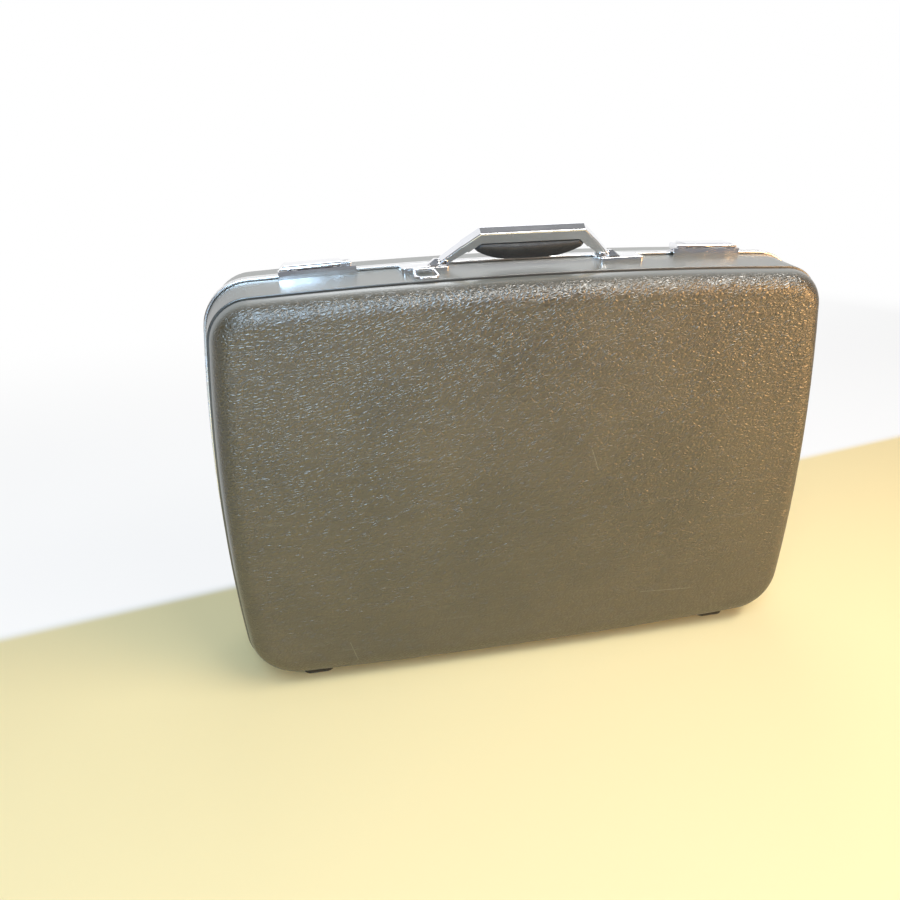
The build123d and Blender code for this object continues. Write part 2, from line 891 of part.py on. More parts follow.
# Latches. The section plane of the left latch stands square to the outline, x pointing
# to the rear and y away from the case; distances along the latch point at the handle.
latch_angle = asin(latch_x / top_radius)
latch_along = Vector(cos(latch_angle), 0, sin(latch_angle))
latch_up = Vector(-sin(latch_angle), 0, cos(latch_angle))
latch_seat = Vector(-latch_x, seam_y, top_height(latch_x))
slab_top = lip_proud + latch_slab
latch_inner_end = button_start + button_length + button_travel + side_gap


def section(along):
    return Plane(origin=latch_seat + latch_along * along, x_dir=(0, 1, 0), z_dir=latch_along)


side_view = Plane(origin=latch_seat, x_dir=latch_along, z_dir=(0, -1, 0))


def section_circle(y, height, radius, mode=Mode.ADD):
    with Locations((y, height)):
        Circle(radius, mode=mode)


def section_box(near, far, low, high, mode=Mode.ADD):
    """Rectangle in a section plane, from near to far across the seam and low to high."""
    with Locations(((near + far) / 2, (low + high) / 2)):
        Rectangle(abs(far - near), high - low, mode=mode)


hood_pin_y = -hood_pin_seam_distance
outer_rib = -latch_outer_end + hood_rib_offset
inner_rib = hood_inner_end - hood_wall
ear_starts = (outer_rib + hood_rib + side_gap, inner_rib - side_gap - latch_ear)
ear_drop = hood_pin_height - slab_top + latch_slab / 2
ear_lean = radians(ear_leg_angle)

with BuildPart() as latch_plate:
    with BuildSketch(section(-latch_outer_end - latch_front_wall - side_gap)):
        section_box(-latch_front, -2 * seam_gap, lip_proud, slab_top)
        section_box(-latch_front, -latch_front + latch_front_wall, -lip_proud, latch_front_height)
    extrude(amount=latch_outer_end + latch_front_wall + side_gap + latch_inner_end)
    with BuildSketch(section(-latch_outer_end - latch_front_wall - side_gap)):
        section_box(-latch_front, -2 * seam_gap, lip_proud, latch_front_height)
    extrude(amount=latch_front_wall)
    add(front_band, mode=Mode.SUBTRACT)
    for start in ear_starts:
        with BuildSketch(section(start)):
            section_circle(hood_pin_y, hood_pin_height, ear_boss_radius)
            with BuildLine():
                Polyline(
                    (hood_pin_y, hood_pin_height),
                    (hood_pin_y + ear_drop / tan(ear_lean), hood_pin_height - ear_drop),
                    (
                        hood_pin_y + ear_drop / tan(ear_lean) + ear_boss_radius / sin(ear_lean),
                        hood_pin_height - ear_drop,
                    ),
                    (
                        hood_pin_y + ear_boss_radius * sin(ear_lean),
                        hood_pin_height + ear_boss_radius * cos(ear_lean),
                    ),
                    close=True,
                )
            make_face()
            section_circle(hood_pin_y, hood_pin_height, hood_pin_radius, Mode.SUBTRACT)
        extrude(amount=latch_ear)
    with BuildSketch(section(button_start)):
        section_box(
            -rail_centre - rail_width / 2,
            -rail_centre + rail_width / 2,
            slab_top - latch_slab / 2,
            slab_top + rail_height,
        )
    extrude(amount=latch_inner_end - button_start)
write("latch_left_plate", latch_plate)
write_mirrored("latch_right_plate", latch_plate)

with BuildPart() as hood_pin:
    with BuildSketch(section(outer_rib)):
        section_circle(hood_pin_y, hood_pin_height, hood_pin_radius)
    extrude(amount=inner_rib + hood_wall - outer_rib)
write("latch_left_hood_pin", hood_pin)
write_mirrored("latch_right_hood_pin", hood_pin)


def hood_section(skin):
    """Cross-section of the hood inside its skin: round nose about the pin, crowned top."""
    nose = hood_nose_radius - skin
    top = hood_pin_height + hood_nose_radius - skin
    back = hood_rear - skin
    low = hood_rear_bottom if skin == 0 else 0
    with BuildLine() as profile:
        front_rise = ThreePointArc(
            (hood_pin_y - nose, hood_pin_height),
            (hood_pin_y - nose * cos(radians(45)), hood_pin_height + nose * sin(radians(45))),
            (hood_pin_y, hood_pin_height + nose),
        )
        crown = ThreePointArc(
            front_rise @ 1, ((hood_pin_y + back) / 2, top + hood_crown), (back, top)
        )
        Polyline(
            crown @ 1,
            (back, low),
            (hood_pin_y - nose, low),
            (hood_pin_y - nose, hood_pin_height),
        )
    make_face(profile.edges())


def hood_side(skin):
    """Side view of the hood inside its skin: level top that slopes down at the outer end."""
    start = -latch_outer_end + skin
    end = hood_inner_end - skin
    top = hood_pin_height + hood_nose_radius + hood_crown - skin
    with BuildLine() as profile:
        slope = ThreePointArc(
            (start, hood_end_height - skin),
            (
                start + hood_slope_length * (1 - cos(radians(45))),
                hood_end_height - skin + (top - hood_end_height + skin) * sin(radians(45)),
            ),
            (start + hood_slope_length, top),
        )
        Polyline(slope @ 1, (end, top), (end, 0), (start, 0), slope @ 0)
    make_face(profile.edges())


def hood_form(skin, start, end):
    with BuildPart() as form:
        with BuildSketch(section(start)):
            hood_section(skin)
        extrude(amount=end - start)
        with BuildSketch(side_view):
            hood_side(skin)
        extrude(amount=latch_front + hood_rear, both=True, mode=Mode.INTERSECT)
    return form.part


hood_hollows = [
    hood_form(hood_wall, -latch_outer_end + hood_wall, outer_rib),
    hood_form(hood_wall, outer_rib + hood_rib, inner_rib),
]
hood_solid = hood_form(0, -latch_outer_end, hood_inner_end)
lug_starts = (-hook_width / 2 - side_gap - hook_lug, hook_width / 2 + side_gap)

with BuildPart() as hood:
    add(hood_solid)
    for hollow in hood_hollows:
        add(hollow, mode=Mode.SUBTRACT)
    with BuildSketch(section(-latch_outer_end)):
        section_box(
            -latch_front, hood_pin_y + hood_nose_radius, 0, hood_pin_height - hood_front_skirt
        )
    extrude(amount=latch_outer_end + hood_inner_end, mode=Mode.SUBTRACT)
    for start, length in ((outer_rib, hood_rib), (inner_rib, hood_wall)):
        with BuildSketch(section(start)):
            section_circle(hood_pin_y, hood_pin_height, hood_rib_boss_radius)
        extrude(amount=length)
    for start in lug_starts:
        with BuildSketch(section(start)):
            section_circle(hook_pin_seam_distance, hook_pin_height, hook_boss_radius)
            section_box(
                hook_pin_seam_distance - hook_boss_radius,
                hook_pin_seam_distance + hook_boss_radius,
                hook_pin_height,
                hood_pin_height + hood_nose_radius + hood_crown - hood_wall / 2,
            )
            section_circle(hook_pin_seam_distance, hook_pin_height, hook_pin_radius, Mode.SUBTRACT)
        extrude(amount=hook_lug)
    with BuildSketch(section(outer_rib)):
        section_circle(hood_pin_y, hood_pin_height, hood_pin_radius + running_gap)
    extrude(amount=inner_rib + hood_wall - outer_rib, mode=Mode.SUBTRACT)
write("latch_left_hood", hood)
write_mirrored("latch_right_hood", hood)

with BuildPart() as hook_pin:
    with BuildSketch(section(lug_starts[0])):
        section_circle(hook_pin_seam_distance, hook_pin_height, hook_pin_radius)
    extrude(amount=lug_starts[1] + hook_lug - lug_starts[0])
write("latch_left_hook_pin", hook_pin)
write_mirrored("latch_right_hook_pin", hook_pin)

claw_front = keeper_ridge_distance + keeper_ridge_width + hook_keeper_gap
with BuildPart() as hook:
    with BuildSketch(section(-hook_width / 2)):
        section_circle(hook_pin_seam_distance, hook_pin_height, hook_boss_radius)
        section_box(
            hook_pin_seam_distance,
            claw_front + hook_wall,
            hook_pin_height - hook_wall / 2,
            hook_pin_height + hook_wall / 2,
        )
        section_box(
            claw_front, claw_front + hook_wall, hook_tip_height, hook_pin_height + hook_wall / 2
        )
        section_circle(
            hook_pin_seam_distance, hook_pin_height, hook_pin_radius + running_gap, Mode.SUBTRACT
        )
    extrude(amount=hook_width)
write("latch_left_hook", hook)
write_mirrored("latch_right_hook", hook)

with BuildPart() as keeper:
    with BuildSketch(section(-keeper_length / 2)):
        section_box(2 * seam_gap, 2 * seam_gap + keeper_width, lip_proud, slab_top)
    extrude(amount=keeper_length)
    with BuildSketch(section(-hook_width / 2)):
        section_box(
            keeper_ridge_distance,
            keeper_ridge_distance + keeper_ridge_width,
            slab_top - latch_slab / 2,
            keeper_ridge_height,
        )
    extrude(amount=hook_width)
write("latch_left_keeper", keeper)
write_mirrored("latch_right_keeper", keeper)

button_front = -latch_front + latch_front_wall + side_gap
lock_middle = button_start + button_length / 2
with BuildPart() as button:
    with BuildSketch(section(button_start)) as button_face:
        section_box(button_front, button_rear, slab_top + slide_gap, button_height)
        fillet(button_face.vertices().group_by(Axis.Y)[-1], button_corner)
    extrude(amount=button_length)
    inner_end = button.faces().sort_by(Axis.X)[-1]
    top_edges = [edge for edge in inner_end.edges() if edge.center().Z > inner_end.center().Z]
    fillet(top_edges, button_corner / 2)
    with BuildSketch(section(button_start)):
        section_box(
            -rail_centre - rail_width / 2 - slide_gap,
            -rail_centre + rail_width / 2 + slide_gap,
            slab_top,
            slab_top + rail_height + slide_gap,
        )
    extrude(amount=button_length, mode=Mode.SUBTRACT)
    lock_floor = Plane(
        origin=latch_seat
        + latch_along * lock_middle
        + latch_up * (button_height - lock_depth)
        - Vector(0, lock_seam_distance, 0),
        x_dir=latch_along,
        z_dir=latch_up,
    )
    with BuildSketch(lock_floor):
        Circle(lock_radius + running_gap)
    extrude(amount=2 * lock_depth, mode=Mode.SUBTRACT)
write("latch_left_button", button)
write_mirrored("latch_right_button", button)

with BuildPart() as lock_barrel:
    with BuildSketch(lock_floor.offset(running_gap)):
        Circle(lock_radius)
    extrude(amount=lock_depth)
    with BuildSketch(lock_floor.offset(running_gap + lock_depth)):
        SlotOverall(keyway_length, keyway_width)
    extrude(amount=-keyway_depth, mode=Mode.SUBTRACT)
write("latch_left_lock_barrel", lock_barrel)
write_mirrored("latch_right_lock_barrel", lock_barrel)


# Packing straps across the front half, each with a slide buckle and two anchors. Their bent
# legs lie on the lining's walls.
strap_y = seam_y - strap_seam_distance
strap_start = -strap_x - strap_width / 2
strap_inner_x = strap_x - strap_width / 2
leg_inset = lining_tray_inset + lining_wall
strap_low = bottom_height(strap_inner_x) + leg_inset
strap_high = top_height(strap_inner_x) - leg_inset


def leg_strip(face, side, length, wall):
    """Profile of a strip along a strap's leg: face is its height, side points inwards."""
    far = strap_y - strap_leg
    with Locations((far + length / 2, face + side * wall / 2)):
        Rectangle(length, wall)


with BuildPart() as strap:
    with BuildSketch(Plane.YZ.offset(strap_start)):
        with Locations((strap_y - strap_wall / 2, (strap_low + strap_high) / 2)):
            Rectangle(strap_wall, strap_high - strap_low)
        leg_strip(strap_low, 1, strap_leg, strap_wall)
        leg_strip(strap_high, -1, strap_leg, strap_wall)
    extrude(amount=strap_width)
    add(front_lining.part, mode=Mode.SUBTRACT)
write("strap_left", strap)
write_mirrored("strap_right", strap)

with BuildPart() as buckle:
    with Locations((-strap_x, strap_y - strap_wall / 2, case_middle_height)):
        Box(buckle_length, buckle_wall, buckle_height)
    fillet(buckle.edges().filter_by(Axis.Y), 3)
    with Locations((-strap_x, strap_y - strap_wall / 2, case_middle_height)):
        Box(
            strap_width + 2 * side_gap,
            strap_wall + 2 * side_gap,
            buckle_height,
            mode=Mode.SUBTRACT,
        )
write("strap_buckle_left", buckle)
write_mirrored("strap_buckle_right", buckle)

with BuildPart() as left_anchors:
    with BuildSketch(Plane.YZ.offset(strap_start)):
        leg_strip(strap_low + strap_wall, 1, anchor_length, anchor_wall)
        leg_strip(strap_high - strap_wall, -1, anchor_length, anchor_wall)
    extrude(amount=strap_width)
with BuildPart() as strap_anchors:
    add(left_anchors.part)
    mirror(left_anchors.part, about=Plane.YZ)
write("strap_anchors", strap_anchors)

# Elastic pocket on the rear lining's floor
pocket_face = rear_depth - shell_wall - lining_clearance - lining_wall - seat_gap
pocket_low = ground_clearance + pocket_bottom_height
pocket_width = case_width - 2 * pocket_side_margin
with BuildPart() as pocket:
    with BuildSketch(seam_plane(1, pocket_face - pocket_wall)):
        with Locations((0, pocket_low + pocket_height / 2)):
            RectangleRounded(pocket_width, pocket_height, pocket_corner)
    extrude(amount=pocket_wall)
write("rear_pocket", pocket)

with BuildPart() as pocket_band:
    with BuildSketch(seam_plane(1, pocket_face - pocket_band_wall)):
        with Locations((0, pocket_low + pocket_height + seat_gap + pocket_band_height / 2)):
            RectangleRounded(pocket_width, pocket_band_height, pocket_band_height / 3)
    extrude(amount=pocket_band_wall)
write("rear_pocket_band", pocket_band)
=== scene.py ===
import math
import random
import bmesh
import bpy
from mathutils import Matrix, Vector


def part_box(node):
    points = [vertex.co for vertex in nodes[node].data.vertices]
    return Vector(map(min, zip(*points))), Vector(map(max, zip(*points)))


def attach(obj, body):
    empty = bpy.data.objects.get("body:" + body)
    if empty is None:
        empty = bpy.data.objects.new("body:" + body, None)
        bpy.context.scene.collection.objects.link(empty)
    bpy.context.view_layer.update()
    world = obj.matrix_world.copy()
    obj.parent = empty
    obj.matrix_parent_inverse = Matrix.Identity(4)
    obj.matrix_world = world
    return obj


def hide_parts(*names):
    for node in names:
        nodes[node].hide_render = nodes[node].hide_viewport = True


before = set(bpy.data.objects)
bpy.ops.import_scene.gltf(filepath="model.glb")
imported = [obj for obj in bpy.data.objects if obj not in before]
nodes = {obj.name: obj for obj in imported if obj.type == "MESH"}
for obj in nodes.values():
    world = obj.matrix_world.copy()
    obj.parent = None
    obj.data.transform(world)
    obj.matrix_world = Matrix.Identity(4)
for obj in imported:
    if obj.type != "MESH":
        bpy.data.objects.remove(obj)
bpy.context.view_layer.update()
scene = bpy.context.scene
print("frame loaded:", len(nodes), "CAD nodes")


# The camera stands at the photograph's viewing angle.
cameraSetup = {
    "place": (-0.2349, -0.7956, 0.5788),
    "yaw": 0.198,  # turned towards +X, radians
    "pitch": 0.398,  # looking down
    "roll": -0.020,
    "lens": 30.9,
    "sensor": 36,
}


def placeCamera(setup):
    yaw, pitch, roll = setup["yaw"], setup["pitch"], setup["roll"]
    ahead = Vector((math.sin(yaw) * math.cos(pitch), math.cos(yaw) * math.cos(pitch), -math.sin(pitch)))
    level = Vector((math.cos(yaw), -math.sin(yaw), 0))
    upright = level.cross(ahead)
    right = level * math.cos(roll) + upright * math.sin(roll)
    up = upright * math.cos(roll) - level * math.sin(roll)
    turn = Matrix((right, up, -ahead)).transposed().to_4x4()
    camera = bpy.data.objects.new("photoCamera", bpy.data.cameras.new("photoCamera"))
    camera.matrix_world = Matrix.Translation(setup["place"]) @ turn
    camera.data.lens = setup["lens"]
    camera.data.sensor_width = setup["sensor"]
    camera.data.clip_start = 0.01
    scene.collection.objects.link(camera)
    scene.camera = camera


placeCamera(cameraSetup)
print("camera placed")


# Short ways to add and join shader nodes.
def addNode(tree, kind, sockets=None, **settings):
    node = tree.nodes.new(kind)
    for name, value in settings.items():
        setattr(node, name, value)
    for key, value in (sockets or {}).items():
        if isinstance(value, bpy.types.NodeSocket):
            tree.links.new(value, node.inputs[key])
        else:
            node.inputs[key].default_value = value
    return node


def mathNode(tree, operation, first, second=0.0, clamp=False):
    node = addNode(tree, "ShaderNodeMath", {0: first, 1: second}, operation=operation, use_clamp=clamp)
    return node.outputs[0]


def vectorMath(tree, operation, first, second=(0, 0, 0)):
    return addNode(tree, "ShaderNodeVectorMath", {0: first, 1: second}, operation=operation)


def scaled(tree, value, amount):
    return mathNode(tree, "MULTIPLY", value, amount)


def rampValue(tree, value, low, high, outLow=0.0, outHigh=1.0):
    sockets = {"Value": value, "From Min": low, "From Max": high, "To Min": outLow, "To Max": outHigh}
    return addNode(tree, "ShaderNodeMapRange", sockets, interpolation_type="SMOOTHSTEP").outputs[0]


def mixColour(tree, factor, first, second):
    node = addNode(tree, "ShaderNodeMix", data_type="RGBA", clamp_factor=True)
    for key, value in ((0, factor), (6, first), (7, second)):
        if isinstance(value, bpy.types.NodeSocket):
            tree.links.new(value, node.inputs[key])
        elif key == 0:
            node.inputs[key].default_value = value
        else:
            node.inputs[key].default_value = (*value[:3], 1)
    return node.outputs[2]


def noise(tree, vector, scale, detail=3.0, roughness=0.55):
    sockets = {"Vector": vector, "Scale": scale, "Detail": detail, "Roughness": roughness}
    return addNode(tree, "ShaderNodeTexNoise", sockets)


def startGroup(name, inputs, outputs):
    group = bpy.data.node_groups.new(name, "ShaderNodeTree")
    for label, kind, start in inputs:
        socket = group.interface.new_socket(name=label, in_out="INPUT", socket_type="NodeSocket" + kind)
        if start is not None:
            socket.default_value = start
    for label, kind in outputs:
        group.interface.new_socket(name=label, in_out="OUTPUT", socket_type="NodeSocket" + kind)
    return group, group.nodes.new("NodeGroupInput").outputs, group.nodes.new("NodeGroupOutput").inputs


def useGroup(tree, group, **sockets):
    node = tree.nodes.new("ShaderNodeGroup")
    node.node_tree = group
    for key, value in sockets.items():
        if isinstance(value, bpy.types.NodeSocket):
            tree.links.new(value, node.inputs[key])
        else:
            node.inputs[key].default_value = value
    return node.outputs


# Pebbled leather grain: stretched cells between creases, a few longer creases, fine pores.
grainShape = {
    "turn": math.radians(18),
    "wobble": 0.006,  # metres that the cells stray
    "wobbleScale": 90.0,
    "foldScale": 75.0,
    "poreScale": 1500.0,
    "cellHeight": 0.75,
    "foldDepth": 0.35,
    "poreHeight": 0.04,
}


def leatherGrainGroup(shape):
    inputs = [("Vector", "Vector", None), ("Cells", "Float", 250.0), ("Stretch", "Float", 0.7)]
    group, given, out = startGroup("leatherGrain", inputs, [("Height", "Float"), ("Crease", "Float")])
    turning = {"Vector": given["Vector"], "Rotation": (0, shape["turn"], 0)}
    turned = addNode(group, "ShaderNodeMapping", turning).outputs[0]
    wobble = noise(group, turned, shape["wobbleScale"], 2.0).outputs["Color"]
    centred = vectorMath(group, "SUBTRACT", wobble, (0.5, 0.5, 0.5)).outputs[0]
    straying = {0: centred, 1: (shape["wobble"],) * 3, 2: turned}
    moved = addNode(group, "ShaderNodeVectorMath", straying, operation="MULTIPLY_ADD").outputs[0]
    stretch = addNode(group, "ShaderNodeCombineXYZ", {"X": given["Stretch"], "Y": 1.0, "Z": 1.0}).outputs[0]
    laid = vectorMath(group, "MULTIPLY", moved, stretch).outputs[0]
    cell = {"Vector": laid, "Scale": given["Cells"], "Randomness": 0.95}
    cells = addNode(group, "ShaderNodeTexVoronoi", cell, feature="DISTANCE_TO_EDGE").outputs["Distance"]
    domes = rampValue(group, cells, 0.0, 0.34)
    crease = rampValue(group, cells, 0.02, 0.13, 1.0, 0.0)
    folds = noise(group, laid, shape["foldScale"], 3.0, 0.6).outputs["Fac"]
    ridge = mathNode(group, "ABSOLUTE", mathNode(group, "SUBTRACT", folds, 0.5))
    longCrease = rampValue(group, ridge, 0.0, 0.035, 1.0, 0.0)
    pores = noise(group, turned, shape["poreScale"], 2.0).outputs["Fac"]
    height = scaled(group, domes, shape["cellHeight"])
    height = mathNode(group, "SUBTRACT", height, scaled(group, longCrease, shape["foldDepth"]))
    height = mathNode(group, "ADD", height, scaled(group, pores, shape["poreHeight"]))
    group.links.new(height, out["Height"])
    group.links.new(mathNode(group, "MAXIMUM", crease, longCrease), out["Crease"])
    return group


# Slow changes of tone from age and handling, from 0 to 1.
def agedToneGroup():
    inputs = [("Vector", "Vector", None), ("Patches", "Float", 6.0)]
    group, given, out = startGroup("agedTone", inputs, [("Tone", "Float")])
    broad = noise(group, given["Vector"], given["Patches"], 4.0, 0.6).outputs["Fac"]
    group.links.new(rampValue(group, broad, 0.32, 0.68), out["Tone"])
    return group


# Hair-fine scratches in many directions.
def fineScratchesGroup():
    inputs = [("Vector", "Vector", None), ("Density", "Float", 60.0), ("Amount", "Float", 0.5)]
    group, given, out = startGroup("fineScratches", inputs, [("Mask", "Float")])
    total = None
    for angle in (18, 73, 131):  # degrees
        turning = {
            "Vector": given["Vector"],
            "Rotation": (0, math.radians(angle), math.radians(angle / 2)),
            "Scale": (0.12, 3.0, 3.0),  # long and thin
        }
        turned = addNode(group, "ShaderNodeMapping", turning).outputs[0]
        lines = noise(group, turned, given["Density"], 1.0, 0.5).outputs["Fac"]
        gap = mathNode(group, "ABSOLUTE", mathNode(group, "SUBTRACT", lines, 0.5))
        mask = rampValue(group, gap, 0.0, 0.006, 1.0, 0.0)
        total = mask if total is None else mathNode(group, "MAXIMUM", total, mask)
    group.links.new(mathNode(group, "MULTIPLY", total, given["Amount"], clamp=True), out["Mask"])
    return group


# One scratch between two points: 1 on its line, 0 beyond its width.
def longScratchGroup():
    inputs = [
        ("Vector", "Vector", None),
        ("Start", "Vector", (0.0, 0.0, 0.0)),
        ("End", "Vector", (0.1, 0.0, 0.0)),
        ("Width", "Float", 0.0004),
    ]
    group, given, out = startGroup("longScratch", inputs, [("Mask", "Float")])
    toPoint = vectorMath(group, "SUBTRACT", given["Vector"], given["Start"]).outputs[0]
    run = vectorMath(group, "SUBTRACT", given["End"], given["Start"]).outputs[0]
    reached = vectorMath(group, "DOT_PRODUCT", toPoint, run).outputs["Value"]
    whole = vectorMath(group, "DOT_PRODUCT", run, run).outputs["Value"]
    along = mathNode(group, "DIVIDE", reached, whole, clamp=True)
    scaling = {0: run, "Scale": along}
    nearest = addNode(group, "ShaderNodeVectorMath", scaling, operation="SCALE").outputs[0]
    away = vectorMath(group, "SUBTRACT", toPoint, nearest).outputs[0]
    distance = vectorMath(group, "LENGTH", away).outputs["Value"]
    group.links.new(rampValue(group, distance, 0.0, given["Width"], 1.0, 0.0), out["Mask"])
    return group


# Plain weave: warp and weft threads that pass over and under each other.
def clothWeaveGroup():
    inputs = [("Vector", "Vector", None), ("Threads", "Float", 900.0)]
    group, given, out = startGroup("clothWeave", inputs, [("Height", "Float"), ("Thread", "Float")])
    split = addNode(group, "ShaderNodeSeparateXYZ", {0: given["Vector"]}).outputs
    slanted = scaled(group, split["Y"], 0.7)  # so that faces that run along Y have threads too
    across = mathNode(group, "ADD", split["X"], slanted)
    upward = mathNode(group, "ADD", split["Z"], slanted)
    waves = []
    for value in (across, upward):
        turn = scaled(group, scaled(group, value, given["Threads"]), math.pi)
        waves.append(mathNode(group, "SINE", turn))
    over = mathNode(group, "MULTIPLY", waves[0], waves[1])
    bent = [mathNode(group, "ABSOLUTE", wave) for wave in waves]
    rounded = mathNode(group, "MAXIMUM", *bent)
    height = mathNode(group, "ADD", scaled(group, over, 0.5), rounded)
    slubs = noise(group, given["Vector"], 320.0, 3.0).outputs["Fac"]
    height = mathNode(group, "ADD", height, scaled(group, slubs, 0.6))
    group.links.new(rampValue(group, height, 0.2, 1.8), out["Height"])
    group.links.new(rampValue(group, over, -0.5, 0.5), out["Thread"])
    return group


leatherGrain = leatherGrainGroup(grainShape)
agedTone = agedToneGroup()
fineScratches = fineScratchesGroup()
longScratch = longScratchGroup()
clothWeave = clothWeaveGroup()
print("shared effects built")


def startMaterial(name):
    material = bpy.data.materials.new(name)
    material.use_nodes = True
    tree = material.node_tree
    shader = tree.nodes["Principled BSDF"]
    place = addNode(tree, "ShaderNodeTexCoord").outputs["Object"]
    return material, tree, shader, place


def bump(tree, shader, height, distance):
    node = addNode(tree, "ShaderNodeBump", {"Height": height, "Distance": distance, "Strength": 1.0})
    tree.links.new(node.outputs[0], shader.inputs["Normal"])


# Moulded shell. The domed faces carry the grain, the side bands are smooth satin. Painted shade darkens the
# grooves and the creases of the grain, and painted light makes the side bands paler.
shellFinish = {
    "light": (0.054, 0.038, 0.012),
    "dark": (0.029, 0.021, 0.008),
    # the smooth band's own colour, lifted paler with painted light for the bright light that the band
    # catches
    "band": (0.150, 0.145, 0.124),
    "dust": (0.30, 0.28, 0.22),
    # painted shade for the grooves between the side band and the domed faces
    "paintedGrooveShade": (0.012, 0.011, 0.009),
    "roughness": (0.30, 0.37),  # where the tone is dark and on the band, where it is light
    "refraction": 1.65,
    # how far painted shade darkens the creases of the grain
    "paintedCreaseShade": 0.55,
    "creaseRoughness": 0.12,
    "scuffDensity": 45.0,
    "scuffAmount": 0.35,
    "markShade": 0.45,
    "cells": 330.0,
    "stretch": 0.48,
    "grainDepth": 0.00045,
    "seam": -0.004,  # y of the seam between the halves
    "frontGrain": (0.0690, 0.0780),  # the grain fades in between these distances from the seam
    "rearGrain": (0.0770, 0.0860),
    # the painted groove shade lies between these distances from the seam, in front and behind
    "frontGroove": (0.0607, 0.0639),
    "rearGroove": (0.0687, 0.0719),
    "scratchWidth": 0.0006,
    "scratchFront": 0.07,  # scratches lie further than this from the seam
    "scratches": [  # x and z of both ends, on the front face
        ((-0.2084, 0.0584), (-0.2012, 0.0343)),
        ((0.1304, 0.0727), (0.1942, 0.0686)),
        ((0.0606, 0.2598), (0.0688, 0.2357)),
    ],
}


def shellMaterial(finish):
    material, tree, shader, place = startMaterial("mouldedShell")
    split = addNode(tree, "ShaderNodeSeparateXYZ", {0: place}).outputs
    forward = mathNode(tree, "SUBTRACT", finish["seam"], split["Y"])
    rearward = mathNode(tree, "SUBTRACT", split["Y"], finish["seam"])
    frontFace = rampValue(tree, forward, *finish["frontGrain"])
    rearFace = rampValue(tree, rearward, *finish["rearGrain"])
    grained = mathNode(tree, "MAXIMUM", frontFace, rearFace)
    # Masks for the painted shade in the grooves.
    paintedGrooveShadeParts = []
    for side, (near, far) in ((forward, finish["frontGroove"]), (rearward, finish["rearGroove"])):
        past = mathNode(tree, "GREATER_THAN", side, near)
        paintedGrooveShadeParts.append(mathNode(tree, "MULTIPLY", past, mathNode(tree, "LESS_THAN", side, far)))
    paintedGrooveShadeMask = mathNode(tree, "ADD", *paintedGrooveShadeParts)
    grain = useGroup(tree, leatherGrain, Vector=place, Cells=finish["cells"], Stretch=finish["stretch"])
    tone = useGroup(tree, agedTone, Vector=place, Patches=7.0)["Tone"]
    scuffing = {"Density": finish["scuffDensity"], "Amount": finish["scuffAmount"]}
    scuffs = useGroup(tree, fineScratches, Vector=place, **scuffing)["Mask"]
    face = mixColour(tree, tone, finish["dark"], finish["light"])
    # Painted shade darkens the creases of the grain.
    face = mixColour(tree, scaled(tree, grain["Crease"], finish["paintedCreaseShade"]), face, finish["dark"])
    # The smooth band takes the band colour, which carries painted light.
    colour = mixColour(tree, grained, finish["band"], face)
    # Painted shade darkens the grooves.
    colour = mixColour(tree, scaled(tree, paintedGrooveShadeMask, 0.8), colour, finish["paintedGrooveShade"])
    marks = scaled(tree, scuffs, 0.5)
    flat = vectorMath(tree, "MULTIPLY", place, (1, 0, 1)).outputs[0]
    front = mathNode(tree, "GREATER_THAN", forward, finish["scratchFront"])
    for start, end in finish["scratches"]:
        ends = {"Start": (start[0], 0, start[1]), "End": (end[0], 0, end[1])}
        line = useGroup(tree, longScratch, Vector=flat, Width=finish["scratchWidth"], **ends)["Mask"]
        marks = mathNode(tree, "MAXIMUM", marks, mathNode(tree, "MULTIPLY", line, front))
    colour = mixColour(tree, scaled(tree, marks, finish["markShade"]), colour, finish["dust"])
    tree.links.new(colour, shader.inputs["Base Color"])
    rough = rampValue(tree, tone, 0.0, 1.0, *finish["roughness"])
    rough = mathNode(tree, "ADD", rough, scaled(tree, grain["Crease"], finish["creaseRoughness"]))
    smooth = mathNode(tree, "ADD", scaled(tree, scuffs, 0.1), finish["roughness"][0])
    blending = {0: grained, 2: smooth, 3: rough}
    blended = addNode(tree, "ShaderNodeMix", blending, data_type="FLOAT").outputs[0]
    tree.links.new(blended, shader.inputs["Roughness"])
    fine = noise(tree, place, 900.0, 2.0).outputs["Fac"]
    height = mathNode(tree, "MULTIPLY", grain["Height"], grained)
    height = mathNode(tree, "ADD", height, scaled(tree, fine, 0.06))
    height = mathNode(tree, "SUBTRACT", height, scaled(tree, marks, 0.1))
    bump(tree, shader, height, finish["grainDepth"])
    shader.inputs["IOR"].default_value = finish["refraction"]
    shader.inputs["Specular IOR Level"].default_value = 1.0
    return material


# Plated parts: bright, faintly smeared, with hair scratches.
chromeFinish = {
    "bright": (0.90, 0.90, 0.92),
    "worn": (0.70, 0.69, 0.67),
    "roughness": (0.07, 0.15),
    "waveDepth": 0.0004,
}


